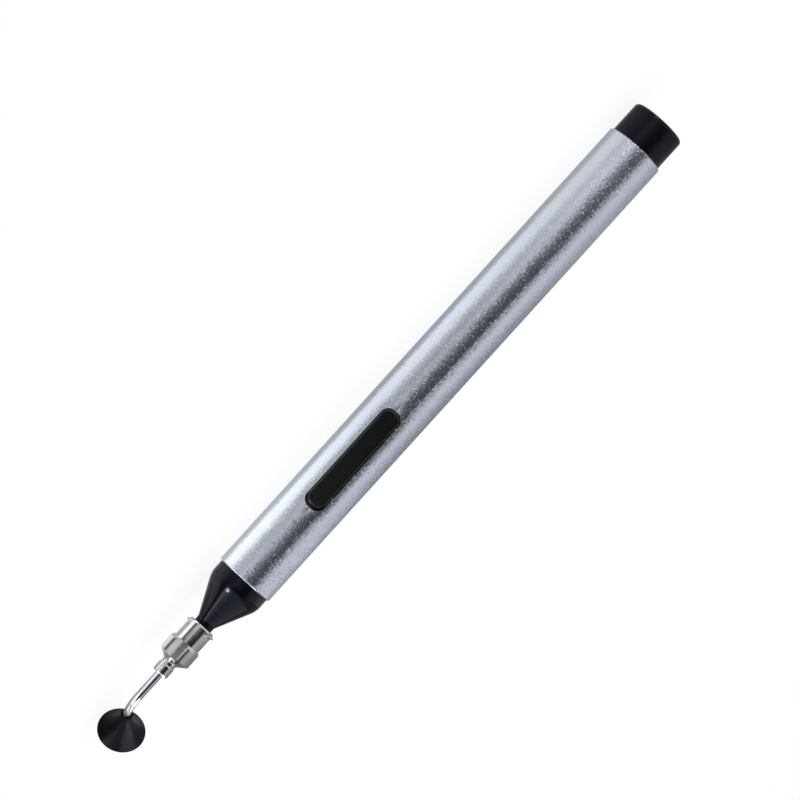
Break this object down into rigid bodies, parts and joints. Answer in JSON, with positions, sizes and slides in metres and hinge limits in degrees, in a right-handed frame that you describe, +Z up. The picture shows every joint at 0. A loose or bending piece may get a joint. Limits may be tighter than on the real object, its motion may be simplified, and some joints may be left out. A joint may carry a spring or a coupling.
{
  "type": "vacuum pick-up pen",
  "caption": "Hand-held vacuum pen: its button squeezes a rubber bulb in a slim tube, and a suction cup on a bent luer needle then lifts small parts.",
  "frame": {"origin": "on the pen's axis, at the rear rim of the barrel, where the end cap is seated", "axes": "+X along the axis towards the tip, +Z up as the pen lies at rest on its barrel and on the rim of its cup; the button faces -Y and 22 degrees up"},
  "size_m": [0.1823, 0.0205, 0.014],
  "materials": {
    "blasted_aluminium": "fine sand-blasted and clear anodised, with a bright chamfer at the rims",
    "black_gloss_plastic": "glossy moulded black",
    "black_button_plastic": "satin black with a polished edge",
    "bulb_rubber": "matte moulded rubber",
    "nickel_plate": "polished nickel plate on turned brass, with milled flats",
    "needle_steel": "drawn and polished stainless tube",
    "cup_rubber": "satin black rubber"
  },
  "bodies": {
    "barrel": {"barrel": "blasted_aluminium", "nose_cone": "black_gloss_plastic", "end_cap": "black_gloss_plastic", "squeeze_bulb": "bulb_rubber"},
    "button": {"button": "black_button_plastic"},
    "tip": {"needle_hub": "nickel_plate", "needle": "needle_steel"},
    "cup": {"suction_cup": "cup_rubber"}
  },
  "joints": [
    {"name": "button_press", "type": "slide", "parent": "barrel", "child": "button", "axis": [0, 0.9275, -0.3737], "range_m": [0, 0.002], "stiffness_N_per_m": 500, "springref_m": -0.0004, "deforming": ["squeeze_bulb"]},
    {"name": "tip_swivel", "type": "hinge", "parent": "barrel", "child": "tip", "pos_m": [0.1404, 0, 0], "axis": [1, 0, 0], "continuous": true},
    {"name": "cup_pull", "type": "slide", "parent": "tip", "child": "cup", "axis": [0.5, 0.853, -0.1496], "range_m": [0, 0.006]}
  ]
}
